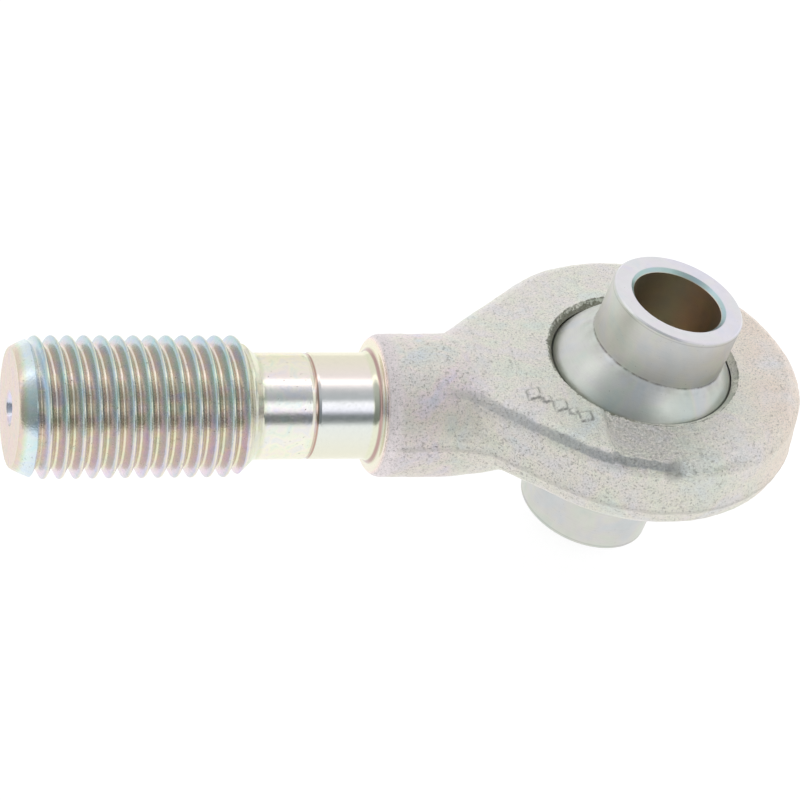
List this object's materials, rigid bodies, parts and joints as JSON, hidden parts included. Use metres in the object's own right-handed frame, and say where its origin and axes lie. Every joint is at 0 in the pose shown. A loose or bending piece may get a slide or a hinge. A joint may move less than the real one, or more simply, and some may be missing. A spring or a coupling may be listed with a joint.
{
  "type": "rod end bearing",
  "caption": "Forged rod end with a collared swivel ball in its eye and an externally threaded shank with a turned relief and a shoulder.",
  "frame": {"origin": "centre of the ball and of the eye, on the shank axis", "axes": "-X along the shank towards the threaded end, +Z along the axis of the eye towards the pressed face, +Y across the eye"},
  "size_m": [0.1728, 0.072, 0.0634],
  "materials": {
    "stud": "turned steel with rolled thread, zinc plated with iridescent yellow-green and pink passivate",
    "eye": "rough as-forged steel, zinc plated, pale grey with pink and lilac patches",
    "ball": "turned and ground steel, satin grey zinc plate",
    "grease": "amber grease"
  },
  "bodies": {
    "eye": {"forged_eye": "eye", "threaded_stud": "stud"},
    "swing": {"grease_film_outer": "grease"},
    "tilt": {"grease_film_inner": "grease"},
    "ball": {"ball": "ball"}
  },
  "joints": [
    {"name": "ball_swing", "type": "hinge", "parent": "eye", "child": "swing", "pos_m": [0, 0, 0], "axis": [0, 0, 1], "continuous": true},
    {"name": "ball_tilt", "type": "hinge", "parent": "swing", "child": "tilt", "pos_m": [0, 0, 0], "axis": [0, 1, 0], "range_deg": [-27.5, 11.5]},
    {"name": "ball_spin", "type": "hinge", "parent": "tilt", "child": "ball", "pos_m": [0, 0, 0], "axis": [0.1392, 0, 0.9903], "continuous": true}
  ]
}
